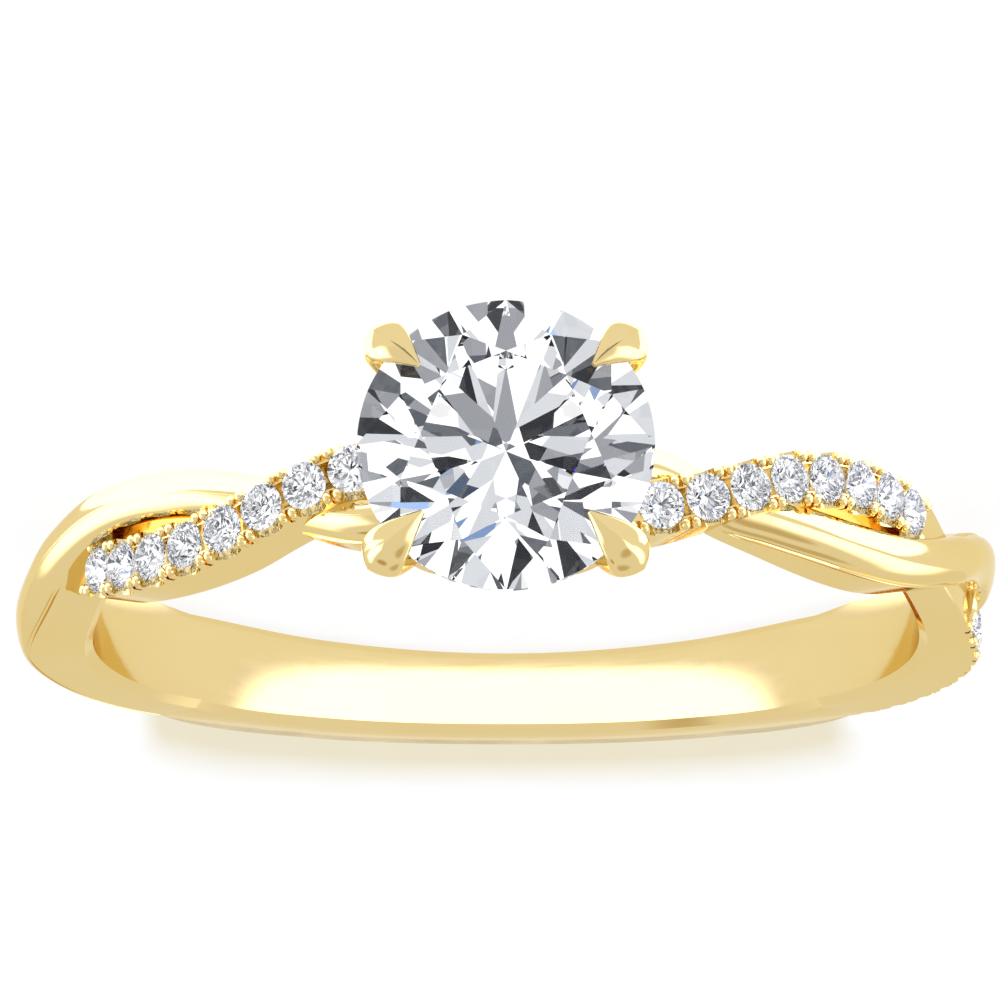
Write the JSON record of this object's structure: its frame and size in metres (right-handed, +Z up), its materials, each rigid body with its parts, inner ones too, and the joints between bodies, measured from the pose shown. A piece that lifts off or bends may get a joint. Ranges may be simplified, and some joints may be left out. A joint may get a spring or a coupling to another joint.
{
  "type": "twisted shank ring",
  "caption": "Gold finger ring: a plain strand and a strand of small diamonds wind round each other beside a round brilliant held by claws.",
  "frame": {"origin": "centre of the finger hole, at the middle of its length", "axes": "the ring lies on its side as it rests: +Z is up, the head with the centre stone points along -Y and a little up, X runs across the shank; the finger hole's axis leans 5 degrees from +Z towards +Y"},
  "size_m": [0.0196, 0.0232, 0.0056],
  "materials": {
    "gold": "polished",
    "diamond": "polished"
  },
  "bodies": {
    "root": {"gold_ring": "gold", "centre_stone": "diamond", "small_diamond_01": "diamond", "small_diamond_02": "diamond", "small_diamond_03": "diamond", "small_diamond_04": "diamond", "small_diamond_05": "diamond", "small_diamond_06": "diamond", "small_diamond_07": "diamond", "small_diamond_08": "diamond", "small_diamond_09": "diamond", "small_diamond_10": "diamond", "small_diamond_11": "diamond", "small_diamond_12": "diamond", "small_diamond_13": "diamond", "small_diamond_14": "diamond", "small_diamond_15": "diamond", "small_diamond_16": "diamond", "small_diamond_17": "diamond", "small_diamond_18": "diamond", "small_diamond_19": "diamond", "small_diamond_20": "diamond", "small_diamond_21": "diamond", "small_diamond_22": "diamond", "small_diamond_23": "diamond", "small_diamond_24": "diamond", "small_diamond_25": "diamond", "small_diamond_26": "diamond", "small_diamond_27": "diamond", "small_diamond_28": "diamond", "small_diamond_29": "diamond", "small_diamond_30": "diamond", "small_diamond_31": "diamond", "small_diamond_32": "diamond"}
  },
  "joints": []
}
